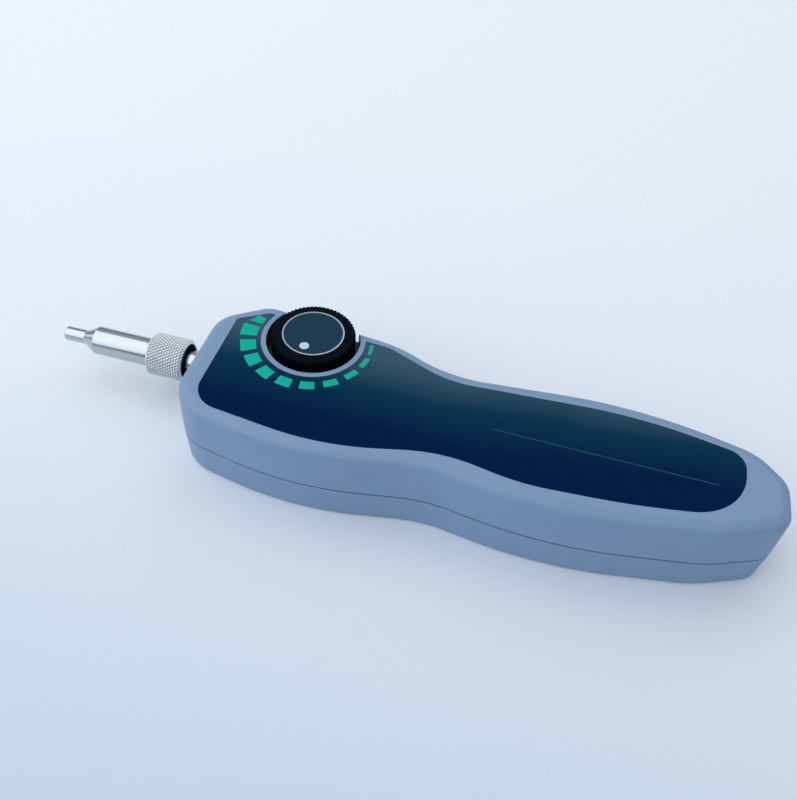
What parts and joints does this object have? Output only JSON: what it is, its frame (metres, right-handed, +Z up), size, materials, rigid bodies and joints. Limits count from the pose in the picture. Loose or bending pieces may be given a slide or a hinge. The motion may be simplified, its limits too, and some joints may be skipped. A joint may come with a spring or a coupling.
{
  "type": "fibre inspection video probe",
  "caption": "Handheld fibre inspection video probe with a contoured two-shell casing, dark front panel, knurled focus knob, knurled coupling nut and slim steel ferrule tip.",
  "frame": {"origin": "on the surface that the probe lies on, under the middle of its overall box", "axes": "+X from the inspection tip to the butt end, +Z up out of the front panel, +Y towards the side where the focus knob overhangs the casing"},
  "size_m": [0.2072, 0.0509, 0.0277],
  "materials": {
    "shell_plastic": "satin moulded",
    "panel_film": "semi-gloss printed overlay",
    "knob_plastic": "semi-gloss moulded",
    "cap_plastic": "satin",
    "ring_chrome": "bright",
    "dot_white": "smooth",
    "stainless": "fine turned",
    "nut_steel": "diamond knurled",
    "plain_steel": "ground",
    "bush_brass": "turned",
    "washer_fibre": "matte",
    "bed_aluminium": "machined",
    "carriage_aluminium": "black anodised",
    "lens_glass": "polished",
    "board_green": "solder mask",
    "chip_black": "matte",
    "lamp_resin": "clear resin",
    "ribbon_film": "satin film",
    "gasket_rubber": "matte"
  },
  "bodies": {
    "housing": {"lower_shell": "shell_plastic", "upper_shell": "shell_plastic", "front_panel": "panel_film", "shaft_bush": "bush_brass", "friction_ring": "washer_fibre", "guide_rods": "plain_steel", "optical_chassis": "bed_aluminium", "chassis_screws": "plain_steel", "tube_lens": "lens_glass", "beam_splitter": "lens_glass", "led_board": "board_green", "illumination_led": "lamp_resin", "sensor_board": "board_green", "image_sensor": "chip_black", "sensor_ribbon": "ribbon_film", "main_board": "board_green", "board_screws": "plain_steel", "processor_chip": "chip_black", "cable_socket": "stainless", "case_screws": "plain_steel", "optical_barrel": "stainless", "nose_gasket": "gasket_rubber"},
    "focus_drive": {"focus_knob": "knob_plastic", "knob_cap": "cap_plastic", "knob_trim_ring": "ring_chrome", "pointer_dot": "dot_white", "knob_screw": "plain_steel", "focus_shaft": "plain_steel", "shaft_clip": "plain_steel", "focus_pinion": "bush_brass"},
    "lens_carriage_group": {"lens_carriage": "carriage_aluminium", "focus_rack": "bush_brass", "objective_front_lens": "lens_glass", "objective_rear_lens": "lens_glass", "lens_retainer": "carriage_aluminium"},
    "tip": {"inspection_tip": "stainless"},
    "nut": {"coupling_nut": "nut_steel"}
  },
  "joints": [
    {"name": "focus_turn", "type": "hinge", "parent": "housing", "child": "focus_drive", "pos_m": [-0.0282, 0.0138, 0.023], "axis": [0, 0, 1], "range_deg": [-100, 100]},
    {"name": "focus_slide", "type": "slide", "parent": "housing", "child": "lens_carriage_group", "axis": [1, 0, 0], "range_m": [-0.0053, 0.0053]},
    {"name": "tip_slide", "type": "slide", "parent": "housing", "child": "tip", "axis": [-1, 0, 0], "range_m": [0, 0.03]},
    {"name": "nut_spin", "type": "hinge", "parent": "tip", "child": "nut", "pos_m": [-0.07, 0.0057, 0.01275], "axis": [-1, 0, 0], "continuous": true}
  ],
  "couplings": [
    {"joint": "focus_slide", "follows": "focus_turn", "m_per_rad": 0.003}
  ]
}
